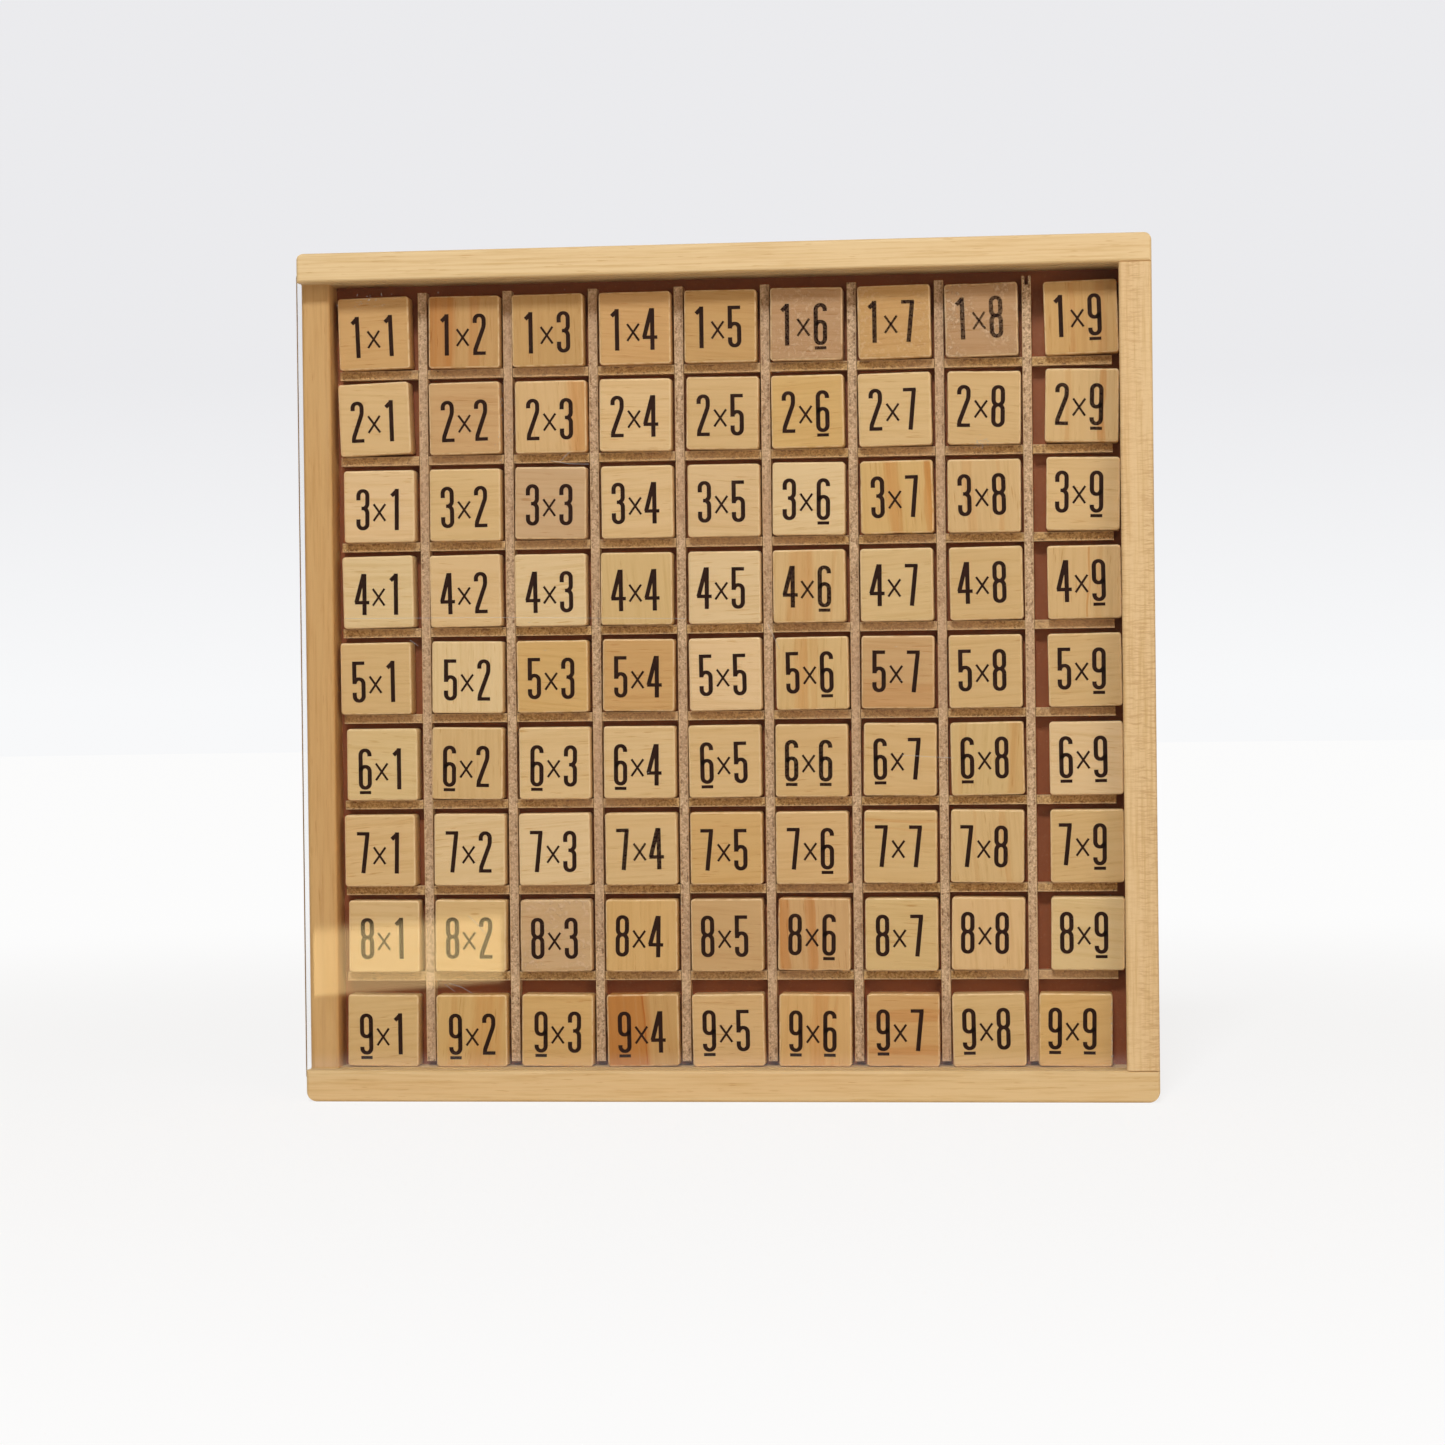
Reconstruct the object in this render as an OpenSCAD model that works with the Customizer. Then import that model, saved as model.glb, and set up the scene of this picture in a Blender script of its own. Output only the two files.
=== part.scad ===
/* [Tiles] */
// Side of a square tile
tile_s = 19.6; // [16:0.1:26]
// Thickness of a tile
tile_t = 7; // [4:0.1:10]
// Corner radius of a tile, seen from the front
tile_corner_r = 1.3; // [0.6:0.1:3]
// Radius of the sanded edges of a tile
tile_edge_r = 0.5; // [0.3:0.1:1]
// Room beside a tile in an inner cell
tile_play = 1.5; // [1.2:0.1:3]
// Air under and behind a tile
tile_air = 0.05; // [0.02:0.01:0.1]
// Largest turn of a loose tile in its cell, in degrees
tile_turn = 0.9; // [0:0.1:1.5]

/* [Divider strips] */
// Thickness of a strip
strip_t = 2.4; // [2:0.1:4]
// Height of a strip above the back panel
strip_h = 4.2; // [3:0.1:5]
// Extra width of the cells along the rails
end_cell_extra = 2.3; // [1:0.1:4]
// Gap between a strip's end and the rail
strip_end_gap = 1.8; // [1.4:0.1:4]
// How far the cross strips sit to the left of the middle
cross_shift = 0.2; // [0:0.1:1]
// How far the upright strips sit below the middle
upright_drop = 0.5; // [0:0.1:1]
// Play on each side of a half-lap slot
lap_clear = 0.15; // [0.05:0.01:0.3]
// Air behind the strips and at the bottom of the laps
strip_air = 0.05; // [0.02:0.01:0.1]
// Length by which the last upright strip runs nearer to the top rail
last_strip_extra = 0.6; // [0.2:0.1:1]
// Width of the split in the end of the last upright strip
split_w = 1; // [0.5:0.1:1.4]
// Depth of that split
split_l = 2.4; // [1:0.1:4]

/* [Frame] */
// Width of the top rail's front face
top_rail_w = 7.8; // [6:0.1:14]
// Width of the bottom rail's front face
bottom_rail_w = 8.5; // [6:0.1:14]
// Width of the left rail, which sits lower than the lid
left_rail_w = 7.7; // [5:0.1:14]
// Width of the right rail's front face
right_rail_w = 8.7; // [6:0.1:14]
// Thickness of the rail in front of the lid groove
lip_t = 4; // [3:0.1:6]
// Depth of the lid groove
groove_deep = 3; // [2:0.1:4.5]
// Step from the back of the groove to the left rail's front face
left_rail_drop = 0.3; // [0.2:0.1:1]
// Radius along the edges of the rails
edge_r = 0.9; // [0.5:0.1:1.5]
// Radius of the top rail's two outer corners
top_end_r = 2.2; // [1.5:0.1:4]
// Radius of the bottom rail's two outer corners
bottom_end_r = 3.2; // [1.5:0.1:4]

/* [Back panel] */
// Thickness of the back panel
panel_t = 3; // [2:0.1:5]
// Depth by which the panel lies below the back of the rails
panel_recess = 0.5; // [0.2:0.1:1.5]
// Width of the rebate that holds the panel
rebate_w = 3.5; // [2:0.1:4.5]
// Play round the panel's edge
panel_clear = 0.2; // [0.1:0.05:0.5]

/* [Lid] */
// Thickness of the clear lid
lid_t = 2.4; // [1.5:0.1:4]
// Play of the lid in its groove, on every side
lid_clear = 0.2; // [0.1:0.05:0.4]
// Room between the back of the lid's groove and the tiles
lid_room = 3; // [1:0.1:4]
// Length by which the lid stands out on the left
lid_proud = 1; // [0.5:0.1:3]
// Corner radius of the lid
lid_corner_r = 1; // [0.5:0.1:3]

/* [Hidden] */
$fn = 32;
// The board holds the tables from one to nine
tables = 9;
strips = tables - 1;
// Cutters run this far past the faces that they open
past = 1;

// Cells and strips, the same across and upwards
cell = tile_s + tile_play;
end_cell = cell + end_cell_extra;
pitch = cell + strip_t;
inner = 2 * end_cell + strips * strip_t + (strips - 1) * cell;
strip_l = inner - 2 * strip_end_gap;

// Outline of the board, with the lid's end counted in its middle
board_w = left_rail_w + inner + right_rail_w;
board_h = bottom_rail_w + inner + top_rail_w;
x_left = -(board_w - lid_proud) / 2;
x_right = x_left + board_w;
x_in_left = x_left + left_rail_w;
x_in_right = x_in_left + inner;
z_in_bottom = bottom_rail_w;
z_in_top = z_in_bottom + inner;
x_mid = (x_in_left + x_in_right) / 2;
z_mid = (z_in_bottom + z_in_top) / 2;

// Depths from the front face, in the order of the layers
groove_w = lid_t + 2 * lid_clear;
groove_back = lip_t + groove_w;
left_front = groove_back + left_rail_drop;
tile_front = groove_back + lid_room;
panel_front = tile_front + tile_t + tile_air;
rebate_d = panel_t + panel_recess;
board_d = panel_front + rebate_d;
strip_front = panel_front - strip_h;
lap_mid = panel_front - strip_h / 2;
slot_w = strip_t + 2 * lap_clear;
y_front = -board_d / 2;

// How each loose tile has settled: its turn and its lean to one side
function at(r, c) = (r - 1) * tables + c - 1;
turns = rands(-tile_turn, tile_turn, tables * tables, 31);
leans = rands(-0.5, 0.5, tables * tables, 12);
// The tiles at the upper corners have turned most: [row, column, degrees]
corner_turns = [[1, 1, 1.2], [2, 1, 2], [1, tables, 1.4], [2, tables, -1.2]];
function turn(r, c) =
    let (own = [for (t = corner_turns) if (t[0] == r && t[1] == c) t[2]])
    len(own) > 0 ? own[0] : turns[at(r, c)];
function lean(r, c) = c < tables ? leans[at(r, c)] : r < tables ? 1 : -1;

// Middle of strip i, counted from the left or from the top
function strip_x(i) = x_mid + (i - tables / 2) * pitch;
function strip_z(i) = z_mid - (i - tables / 2) * pitch;
function cell_left(c) = c == 1 ? x_in_left : strip_x(c - 1) + strip_t / 2;
function cell_right(c) = c == tables ? x_in_right : strip_x(c) - strip_t / 2;
function cell_floor(r) = r == tables ? z_in_bottom : strip_z(r) + strip_t / 2;

function upright_name(i) = str("upright_strip_", i);
function cross_name(i) = str("cross_strip_", i);
function row_name(r) = str("tiles_row_", r);

// Rectangle from the origin with round corners
module soft_rect(w, h, r) {
    translate([r, 0]) square([w - 2 * r, h]);
    translate([0, r]) square([w, h - 2 * r]);
    for (x = [r, w - r], y = [r, h - r]) translate([x, y]) circle(r);
}

// A front view, cut from depth y0 to depth y1
module from_front(y0, y1) {
    translate([0, y_front + y1, 0]) rotate([90, 0, 0]) linear_extrude(y1 - y0) children();
}

// Section of a rail: depth runs along x, the way out of the tray along y
module rail_section(w, front) {
    difference() {
        translate([front, 0]) soft_rect(board_d - front, w, edge_r);
        translate([board_d - rebate_d, -past]) square([rebate_d + past, rebate_w + past]);
    }
}

// Section of a rail that also guides the lid
module grooved_section(w) {
    difference() {
        rail_section(w, 0);
        translate([lip_t, -past]) square([groove_w, groove_deep + past]);
    }
}

// A rail that runs the full width, with its ends rounded from the front and from above
module full_width_rail(end_r) {
    intersection() {
        translate([x_left, y_front, 0]) rotate([90, 0, 90]) linear_extrude(board_w) children();
        from_front(0, board_d) translate([x_left, 0]) soft_rect(board_w, board_h, end_r);
        translate([x_left, y_front, 0]) linear_extrude(board_h) soft_rect(board_w, board_d, edge_r);
    }
}

module top_rail() {
    color("burlywood")
    full_width_rail(top_end_r) translate([0, z_in_top]) grooved_section(top_rail_w);
}

module bottom_rail() {
    color("burlywood")
    full_width_rail(bottom_end_r)
    translate([0, z_in_bottom]) mirror([0, 1]) grooved_section(bottom_rail_w);
}

// Stands between the top and bottom rails, and its groove takes the lid's far edge
module right_rail() {
    color("burlywood")
    translate([x_in_right, y_front, z_in_bottom])
    linear_extrude(inner) mirror([1, -1]) grooved_section(right_rail_w);
}

// Set back behind the groove, so that the lid slides out over it
module left_rail() {
    color("burlywood")
    translate([x_in_left, y_front, z_in_bottom])
    linear_extrude(inner) mirror([1, 0]) mirror([1, -1]) rail_section(left_rail_w, left_front);
}

// Hardboard sheet, glued into the rebates of the four rails
module back_panel() {
    side = inner + 2 * (rebate_w - panel_clear);
    color("saddlebrown")
    from_front(panel_front, panel_front + panel_t)
    translate([x_mid - side / 2, z_mid - side / 2]) square(side);
}

// Upright strip: its front edge is whole and its slots open towards the panel
module upright_strip(i) {
    extra = i == strips ? last_strip_extra : 0;
    foot_z = z_mid - strip_l / 2 - upright_drop;
    end_z = foot_z + strip_l + extra;
    color("tan")
    difference() {
        from_front(strip_front, panel_front - strip_air)
        translate([strip_x(i) - strip_t / 2, foot_z]) square([strip_t, strip_l + extra]);
        for (j = [1:strips]) from_front(lap_mid, panel_front + past)
        translate([strip_x(i), strip_z(j)]) square([strip_t + 2 * past, slot_w], center = true);
        if (i == strips) from_front(strip_front - past, panel_front + past)
        translate([strip_x(i) - split_w / 2, end_z - split_l]) square([split_w, split_l + past]);
    }
}

// Cross strip: its slots open to the front and take the upright strips
module cross_strip(i) {
    color("tan")
    difference() {
        from_front(strip_front, panel_front - strip_air)
        translate([x_mid - strip_l / 2 - cross_shift, strip_z(i) - strip_t / 2])
        square([strip_l, strip_t]);
        for (j = [1:strips]) from_front(strip_front - past, lap_mid + strip_air)
        translate([strip_x(j), strip_z(i)]) square([slot_w, strip_t + 2 * past], center = true);
    }
}

// One tile around the origin, its front face at y = 0
module tile() {
    translate([-tile_s / 2, 0, -tile_s / 2])
    intersection() {
        translate([0, tile_t, 0]) rotate([90, 0, 0])
        linear_extrude(tile_t) soft_rect(tile_s, tile_s, tile_corner_r);
        linear_extrude(tile_s) soft_rect(tile_s, tile_t, tile_edge_r);
        rotate([90, 0, 90]) linear_extrude(tile_s) soft_rect(tile_t, tile_s, tile_edge_r);
    }
}

// A row of loose tiles, each resting on the strip or rail below it
module tile_row(r) {
    color("wheat")
    for (c = [1:tables]) {
        half = tile_s / 2 * (cos(turn(r, c)) + abs(sin(turn(r, c))));
        middle = (cell_left(c) + cell_right(c)) / 2;
        room = (cell_right(c) - cell_left(c)) / 2 - half - tile_air;
        translate([middle + lean(r, c) * room, y_front + tile_front, cell_floor(r) + half + tile_air])
        rotate([0, -turn(r, c), 0]) tile();
    }
}

// Clear sheet that slides in the grooves and comes out on the left
module clear_lid() {
    reach = groove_deep - lid_clear;
    color("lightcyan", 0.4)
    from_front(lip_t + lid_clear, lip_t + lid_clear + lid_t)
    translate([x_left - lid_proud, z_in_bottom - reach])
    soft_rect(x_in_right + reach - x_left + lid_proud, inner + 2 * reach, lid_corner_r);
}

back_panel();
top_rail();
bottom_rail();
left_rail();
right_rail();
for (i = [1:strips]) {
    upright_strip(i);
    cross_strip(i);
}
for (r = [1:tables]) tile_row(r);
clear_lid();
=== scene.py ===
import bpy
import numpy as np
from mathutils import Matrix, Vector


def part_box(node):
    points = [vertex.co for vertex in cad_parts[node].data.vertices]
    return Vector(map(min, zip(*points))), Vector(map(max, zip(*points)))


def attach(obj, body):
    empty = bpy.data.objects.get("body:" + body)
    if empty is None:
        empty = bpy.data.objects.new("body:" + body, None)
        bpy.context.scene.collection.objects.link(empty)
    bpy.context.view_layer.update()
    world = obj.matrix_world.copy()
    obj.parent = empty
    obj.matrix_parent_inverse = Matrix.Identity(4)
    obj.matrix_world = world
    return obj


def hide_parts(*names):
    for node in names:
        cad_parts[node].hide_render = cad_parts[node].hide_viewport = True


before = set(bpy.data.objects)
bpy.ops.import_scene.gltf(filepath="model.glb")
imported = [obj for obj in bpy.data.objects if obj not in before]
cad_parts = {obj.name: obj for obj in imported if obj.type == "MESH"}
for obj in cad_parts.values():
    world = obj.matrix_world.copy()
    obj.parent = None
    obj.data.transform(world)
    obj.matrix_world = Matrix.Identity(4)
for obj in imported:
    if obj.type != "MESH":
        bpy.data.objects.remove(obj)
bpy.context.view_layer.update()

# Studio: the board stands upright on a wide pale table under an even white sky. A cool lamp lights
# it from above and a broad warm one from the right. The camera stands level with the middle of
# the board, a little to its right, in a dim room that the lid reflects, with a warm glow in it.
camera_place = (0.1053, -0.9407, 0.1101)
camera_tilt = 89.49
camera_roll = 0.67
camera_turn = 6.43
camera_lens = 87.2
# Each lamp: its name, place, width, power and colour
lamps = (
    ("key", (0.0, -1.8, 1.61), 0.34, 29.8, (0.93, 1.0, 1.1)),
    ("fill", (0.95, -1.3, 0.45), 0.8, 5.4, (1.0, 0.87, 0.74)),
)
aim = (0, 0, 0.115)
sky_light = 0.28
sky_warmth = (1.0, 0.82, 0.64, 1)
table_reach = 6.0
table_share = 0.8
table_dim_from, table_dim_to = -0.08, -0.14
room_dark = (0.075, 0.055, 0.04, 1)
stage_white = (1.0, 1.0, 1.0, 1)
sky_low = (0.94, 0.945, 0.955, 1)
sky_high = (0.83, 0.83, 0.85, 1)
sky_fade = 0.09
sky_dim_from, sky_dim_to = -0.1, -0.4
table_bounce = (0.8, 0.75, 0.7, 1)
table_pale = (0.95, 0.94, 0.92, 1)
table_near = 0.2
table_far = 0.8
table_far_share = 0.96


def shader(tree, kind, inputs=None, **settings):
    """Adds one node to a finish. Each input is a number, a colour or another node's output."""
    new = tree.nodes.new("ShaderNode" + kind)
    for key, value in settings.items():
        setattr(new, key, value)
    for key, value in (inputs or {}).items():
        if isinstance(value, bpy.types.NodeSocket):
            tree.links.new(value, new.inputs[key])
        else:
            new.inputs[key].default_value = value
    return new


def sum_up(tree, kind, a, b=0.0, c=0.0):
    """One sum on two or three numbers, such as MULTIPLY or POWER."""
    return shader(tree, "Math", {0: a, 1: b, 2: c}, operation=kind).outputs[0]


def rise(tree, value, low, high):
    """Climbs smoothly from 0 at low to 1 at high, or falls where low is above high."""
    return shader(
        tree, "MapRange", {0: value, 1: low, 2: high}, interpolation_type="SMOOTHSTEP"
    ).outputs[0]


def seen_directly(tree):
    """1 where the camera, a mirror or clear glass looks, and 0 where light only bounces."""
    path = shader(tree, "LightPath")
    looked = sum_up(tree, "MAXIMUM", path.outputs["Is Camera Ray"], path.outputs["Is Glossy Ray"])
    return sum_up(tree, "MAXIMUM", looked, path.outputs["Is Transmission Ray"])


def dim_ahead(tree, ahead, colour):
    """The colour as the camera sees it, and the dim room in a reflection that looks ahead."""
    path = shader(tree, "LightPath").outputs
    mirrored = sum_up(tree, "MAXIMUM", path["Is Glossy Ray"], path["Is Transmission Ray"])
    share = sum_up(tree, "MULTIPLY", ahead, mirrored)
    return shader(tree, "MixRGB", {0: share, 1: colour, 2: room_dark}).outputs[0]


def blank(name):
    """A new material with nothing in it yet: (material, its nodes)."""
    material = bpy.data.materials.new(name)
    material.use_nodes = True
    material.node_tree.nodes.clear()
    return material, material.node_tree


def solid(name, points, faces, smooth=True):
    """A mesh object of that name, with its place in its mesh."""
    mesh = bpy.data.meshes.new(name)
    mesh.from_pydata(np.asarray(points).reshape(-1, 3).tolist(), [], faces)
    mesh.polygons.foreach_set("use_smooth", np.full(len(mesh.polygons), smooth))
    piece = bpy.data.objects.new(name, mesh)
    bpy.context.scene.collection.objects.link(piece)
    return piece


bpy.context.scene.view_settings.view_transform = "Standard"

camera_data = bpy.data.cameras.new("camera")
camera_data.lens = camera_lens
camera = bpy.data.objects.new("camera", camera_data)
camera.location = camera_place
camera.rotation_euler = np.radians((camera_tilt, camera_roll, camera_turn))
bpy.context.scene.collection.objects.link(camera)
bpy.context.scene.camera = camera

for name, place, width, power, colour in lamps:
    lamp_data = bpy.data.lights.new(name, "AREA")
    lamp_data.energy, lamp_data.size, lamp_data.color = power, width, colour
    lamp = bpy.data.objects.new(name, lamp_data)
    lamp.location = place
    lamp.rotation_euler = (Vector(aim) - Vector(place)).to_track_quat("-Z", "Y").to_euler()
    lamp.visible_camera = False
    bpy.context.scene.collection.objects.link(lamp)

sky = bpy.data.worlds.new("sky")
sky.use_nodes = True
bpy.context.scene.world = sky
sky.node_tree.nodes.clear()
sky_place = shader(sky.node_tree, "TexCoord").outputs["Generated"]
sky_parts = shader(sky.node_tree, "SeparateXYZ", {0: sky_place}).outputs
sky_shade = shader(sky.node_tree, "ValToRGB", {0: sky_parts[2]})
sky_shade.color_ramp.elements[0].color = sky_low
sky_shade.color_ramp.elements[1].color = sky_high
sky_shade.color_ramp.elements[1].position = sky_fade
sky_front = rise(sky.node_tree, sky_parts[1], sky_dim_from, sky_dim_to)
sky_seen = dim_ahead(sky.node_tree, sky_front, sky_shade.outputs[0])
sky_shown = shader(sky.node_tree, "Background", {"Color": sky_seen, "Strength": 1.0})
sky_lit = shader(sky.node_tree, "Background", {"Color": sky_warmth, "Strength": sky_light})
sky_mix = shader(
    sky.node_tree, "MixShader",
    {0: seen_directly(sky.node_tree), 1: sky_lit.outputs[0], 2: sky_shown.outputs[0]},
)
shader(sky.node_tree, "OutputWorld", {0: sky_mix.outputs[0]})


def table_top(steps=48, rings=8):
    """A flat disc: rings that widen with the square of their number, joined by quads."""
    turn = np.linspace(0, 2 * np.pi, steps, endpoint=False)
    width = table_reach * (np.arange(1, rings + 1) / rings) ** 2
    rim = np.stack([np.cos(turn), np.sin(turn), 0 * turn], 1)
    points = np.vstack([[[0, 0, 0]], (width[:, None, None] * rim).reshape(-1, 3)])
    faces = [(0, 1 + i, 1 + (i + 1) % steps) for i in range(steps)]
    for ring in range(rings - 1):
        inner, outer = 1 + ring * steps, 1 + (ring + 1) * steps
        faces += [
            (inner + i, outer + i, outer + (i + 1) % steps, inner + (i + 1) % steps)
            for i in range(steps)
        ]
    return points, faces


table = solid("table", *table_top())
table_finish, tree = blank("pale table")
table_place = shader(tree, "TexCoord").outputs["Object"]
table_depth = shader(tree, "SeparateXYZ", {0: table_place}).outputs[1]
table_away = shader(tree, "VectorMath", {0: table_place}, operation="LENGTH").outputs["Value"]
faraway = rise(tree, table_away, table_near, table_far)
share = sum_up(tree, "MULTIPLY_ADD", faraway, table_far_share - table_share, table_share)
in_front = rise(tree, table_depth, table_dim_from, table_dim_to)
table_grey = shader(tree, "MixRGB", {0: seen_directly(tree), 1: table_bounce, 2: table_pale})
table_lit = shader(tree, "BsdfDiffuse", {"Color": dim_ahead(tree, in_front, table_grey.outputs[0])})
table_shown = shader(
    tree, "Emission", {"Color": dim_ahead(tree, in_front, stage_white), "Strength": 1.0}
)
table_mix = shader(
    tree, "MixShader",
    {
        0: sum_up(tree, "MULTIPLY", seen_directly(tree), share),
        1: table_lit.outputs[0],
        2: table_shown.outputs[0],
    },
)
shader(tree, "OutputMaterial", {0: table_mix.outputs[0]})
table.data.materials.append(table_finish)

# The glow: a warm light out of sight on the left. It only shows in the lid, as a soft pale band
# over the lower left tiles, and lights nothing.
glow_corners = ((-0.194, 0.0003), (-0.1115, 0.0065), (-0.1115, 0.0344), (-0.194, 0.0284))
glow_depth = -0.3
glow_light = (6.5, 4.9, 2.3, 1)
glow_side_fade = 0.04
glow_foot_fade = 0.1
glow_top_fade = 0.22
glow = solid("glow", [(x, glow_depth, z) for x, z in glow_corners], [(0, 1, 2, 3)])
spread = glow.data.attributes.new("spread", "FLOAT_VECTOR", "POINT")
spread.data.foreach_set("vector", (0, 0, 0, 1, 0, 0, 1, 1, 0, 0, 1, 0))
glow_finish, tree = blank("glow")
spread = shader(tree, "Attribute", attribute_name="spread").outputs["Vector"]
sideways, upwards = shader(tree, "SeparateXYZ", {0: spread}).outputs[:2]
off_middle = sum_up(tree, "ABSOLUTE", sum_up(tree, "SUBTRACT", sideways, 0.5))
soft = rise(tree, off_middle, 0.5, 0.5 - glow_side_fade)
soft = sum_up(tree, "MULTIPLY", soft, rise(tree, upwards, 0.0, glow_foot_fade))
soft = sum_up(tree, "MULTIPLY", soft, rise(tree, upwards, 1.0, 1.0 - glow_top_fade))
lit = shader(tree, "Emission", {"Color": glow_light, "Strength": 1.0})
clear = shader(tree, "BsdfTransparent")
mix = shader(tree, "MixShader", {0: soft, 1: clear.outputs[0], 2: lit.outputs[0]})
shader(tree, "OutputMaterial", {0: mix.outputs[0]})
glow.data.materials.append(glow_finish)
glow.visible_camera = glow.visible_diffuse = glow.visible_transmission = glow.visible_shadow = False

# Frame: four rails of pale pine, planed, rounded along their edges, and butted and glued at the
# corners. They are left bare, and the grain runs along each. The left rail is set back and a
# little more orange, and the planer left fine cross marks on the right one.
rail_pith = (0.031, 0.047)
rail_late = (218, 182, 128)
rail_rings = 0.0013
rail_wander = 0.002
mark_sway = 0.0012
rail_relief = 0.00006


def paint(red, green, blue):
    """A colour of a paint chart, 0 to 255, as the renderer's linear light."""
    chart = np.array([red, green, blue]) / 255
    linear = np.where(chart > 0.04045, ((chart + 0.055) / 1.055) ** 2.4, chart / 12.92)
    return (*linear, 1)


def finish(name, gloss, shine=0.3):
    """A new material of one Principled shader: (material, its nodes, the shader)."""
    material, tree = blank(name)
    coat = shader(tree, "BsdfPrincipled", {"Roughness": gloss, "Specular IOR Level": shine})
    shader(tree, "OutputMaterial", {0: coat.outputs[0]})
    return material, tree, coat


def stretch(tree, place, x, y, z):
    """The place, with each of its directions multiplied by a number of its own."""
    return shader(tree, "VectorMath", {0: place, 1: (x, y, z)}, operation="MULTIPLY").outputs[0]


def cloud(tree, place, scale, detail=2.0, rough=0.5):
    """Soft noise between 0 and 1, with lumps of about 1 / scale of the place's length."""
    return shader(
        tree, "TexNoise", {"Vector": place, "Scale": scale, "Detail": detail, "Roughness": rough}
    ).outputs[0]


def tint(tree, share, a, b, kind="MIX"):
    """Colour a, with b laid over it by that share."""
    return shader(
        tree, "Mix", {0: share, 6: a, 7: b}, data_type="RGBA", blend_type=kind
    ).outputs[2]


def roughen(tree, coat, height, depth):
    """Raises the surface by height, from 0 to 1, times depth in metres."""
    raised = shader(tree, "Bump", {"Height": height, "Strength": 1.0, "Distance": depth})
    tree.links.new(raised.outputs[0], coat.inputs["Normal"])


def pine_figure(tree, place, ring_gap, pith, wander):
    """Sawn pine, its third direction along the grain: (late wood, fibres, flecks), 0 to 1.

    The rings are a sine of the distance from the pith line, which slow noise bends by up to
    twice the wander. It is raised to a power, so that the late wood is thin and dark.
    """
    bend = cloud(tree, stretch(tree, place, 16, 16, 2.5), 1.0, 2.0)
    away = shader(tree, "VectorMath", {0: stretch(tree, place, 1, 1, 0), 1: (*pith, 0)})
    radius = shader(tree, "VectorMath", {0: away.outputs[0]}, operation="LENGTH").outputs["Value"]
    bent = sum_up(tree, "MULTIPLY_ADD", bend, wander * 2, radius)
    wave = sum_up(tree, "SINE", sum_up(tree, "MULTIPLY", bent, 2 * np.pi / ring_gap))
    late = sum_up(tree, "POWER", sum_up(tree, "MULTIPLY_ADD", wave, 0.5, 0.5), 3.0)
    patchy = rise(tree, cloud(tree, stretch(tree, place, 60, 60, 8), 1.0), 0.3, 0.7)
    late = sum_up(tree, "MULTIPLY", late, patchy)
    fibres = cloud(tree, stretch(tree, place, 1300, 1300, 45), 1.0, 3.0, 0.65)
    flecks = rise(tree, cloud(tree, stretch(tree, place, 2600, 2600, 170), 1.0, 1.0), 0.66, 0.76)
    return late, fibres, flecks


def rail_pine(
    name, along, light, orange, fleck=0.6, cross_marks=0.0, dark=rail_late, ring_gap=rail_rings
):
    """Pine for one rail, its grain along x or z, with the planer's marks across it.

    light and dark are its early and its late wood, and orange, fleck and cross_marks say how
    strongly the orange wood, the dark flecks and the planer's marks show.
    """
    material, tree, coat = finish(name, 0.55)
    place = shader(tree, "TexCoord").outputs["Object"]
    if along == "x":
        apart = shader(tree, "SeparateXYZ", {0: place}).outputs
        place = shader(tree, "CombineXYZ", {0: apart[1], 1: apart[2], 2: apart[0]}).outputs[0]
    late, fibres, flecks = pine_figure(tree, place, ring_gap, rail_pith, rail_wander)
    colour = tint(tree, sum_up(tree, "MULTIPLY", late, 0.4), paint(*light), paint(*dark))
    warm = rise(tree, cloud(tree, stretch(tree, place, 90, 90, 5), 1.0), 0.45, 0.75)
    colour = tint(tree, sum_up(tree, "MULTIPLY", warm, orange), colour, paint(208, 150, 84))
    colour = tint(tree, rise(tree, fibres, 0.42, 0.75), colour, paint(240, 232, 216), "MULTIPLY")
    flecks = sum_up(tree, "MULTIPLY", flecks, fleck)
    colour = tint(tree, flecks, colour, paint(228, 208, 180), "MULTIPLY")
    height = sum_up(tree, "MULTIPLY_ADD", flecks, -0.6, fibres)
    if cross_marks:
        swell = shader(tree, "TexNoise", {"Vector": place, "Scale": 330, "Detail": 2}).outputs[1]
        swayed = shader(
            tree, "VectorMath", {0: swell, 1: (0, 0, mark_sway), 2: place}, operation="MULTIPLY_ADD"
        ).outputs[0]
        scores = cloud(tree, stretch(tree, swayed, 260, 260, 2600), 1.0, 3.0, 0.75)
        patchy = rise(tree, cloud(tree, stretch(tree, place, 170, 170, 14), 1.0), 0.35, 0.65)
        marks = sum_up(tree, "MULTIPLY", rise(tree, scores, 0.46, 0.64), cross_marks)
        marks = sum_up(tree, "MULTIPLY", marks, sum_up(tree, "MULTIPLY_ADD", patchy, 0.7, 0.3))
        colour = tint(tree, marks, colour, paint(198, 156, 104))
        height = sum_up(tree, "MULTIPLY_ADD", marks, -0.8, height)
    tree.links.new(colour, coat.inputs["Base Color"])
    roughen(tree, coat, height, rail_relief)
    return material


def dress(node, material):
    """Gives a CAD node its finish in place of the plain one."""
    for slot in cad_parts[node].material_slots:
        slot.material = material


dress("top_rail", rail_pine("top rail pine", "x", (231, 202, 151), orange=0.1))
# The bottom rail's pine is painted a little darker than the top rail's: partly its own tone, partly
# painted shade for the weaker light at the foot of the board.
dress("bottom_rail", rail_pine("bottom rail pine", "x", (221, 190, 138), orange=0.15))
right_pine = rail_pine(
    "right rail pine", "z", (227, 195, 144), orange=0.1, fleck=0.25, cross_marks=0.75
)
dress("right_rail", right_pine)
left_pine = rail_pine(
    "left rail pine", "z", (219, 175, 115), orange=0.3, dark=(188, 138, 84), ring_gap=0.0028
)
dress("left_rail", left_pine)
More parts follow.
